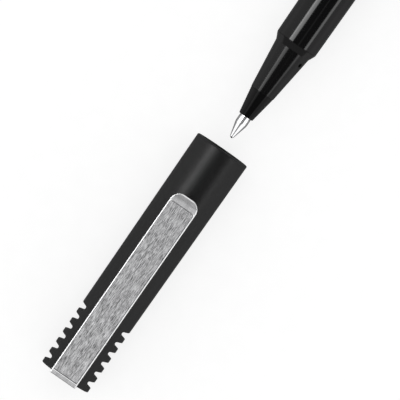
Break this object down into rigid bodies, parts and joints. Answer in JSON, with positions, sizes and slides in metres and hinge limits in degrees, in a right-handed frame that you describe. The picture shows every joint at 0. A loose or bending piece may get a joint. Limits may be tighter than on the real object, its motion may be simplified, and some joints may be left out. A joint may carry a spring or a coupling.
{
  "type": "counterfeit detector pen",
  "caption": "Capped counterfeit detector pen with a steel ball tip in a tapered grip, a fibre ink reservoir, and a notched pull-off cap with a flat brushed metal clip.",
  "frame": {"origin": "centre of the flat end face of the tail plug, on the pen's axis", "axes": "+X along the pen from the tail towards the writing tip and the pulled-off cap; +Z on the clip's side; +Y completes a right-handed frame, on the vent hole's side"},
  "size_m": [0.1938, 0.0124, 0.0139],
  "materials": {
    "barrel_plastic": "glossy black moulded plastic",
    "section_plastic": "glossy black moulded plastic",
    "nose_plastic": "high-gloss black moulded plastic",
    "tip_steel": "turned and polished stainless steel",
    "ball_carbide": "polished tungsten carbide",
    "feed_fibre": "bonded fibre rod soaked in pale amber ink",
    "reservoir_fibre": "bonded fibre soaked in amber detector ink",
    "reservoir_film": "thin clear film",
    "tail_plastic": "black moulded plastic",
    "cap_plastic": "satin dark grey-black moulded plastic",
    "liner_plastic": "natural soft polyethylene",
    "crown_plastic": "satin dark grey-black moulded plastic",
    "clip_steel": "brushed along its length, with polished raised rims"
  },
  "bodies": {
    "pen": {"barrel": "barrel_plastic", "section": "section_plastic", "nose_cone": "nose_plastic", "tip_housing": "tip_steel", "feed_rod": "feed_fibre", "reservoir_core": "reservoir_fibre", "reservoir_wrap": "reservoir_film", "tail_plug": "tail_plastic"},
    "ball": {"writing_ball": "ball_carbide"},
    "cap": {"cap_shell": "cap_plastic", "inner_cap": "liner_plastic", "crown_plug": "crown_plastic"},
    "clip": {"clip": "clip_steel"}
  },
  "joints": [
    {"name": "cap_slide", "type": "slide", "parent": "pen", "child": "cap", "axis": [1, 0, 0], "range_m": [-0.05713, 0]},
    {"name": "clip_flex", "type": "hinge", "parent": "cap", "child": "clip", "pos_m": [0.19358, 0, 0.00405], "axis": [0, 1, 0], "range_deg": [0, 5], "stiffness_Nm_per_rad": 0.8},
    {"name": "ball_roll", "type": "hinge", "parent": "pen", "child": "ball", "pos_m": [0.13238, 0, 0], "axis": [0, 1, 0], "continuous": true}
  ]
}
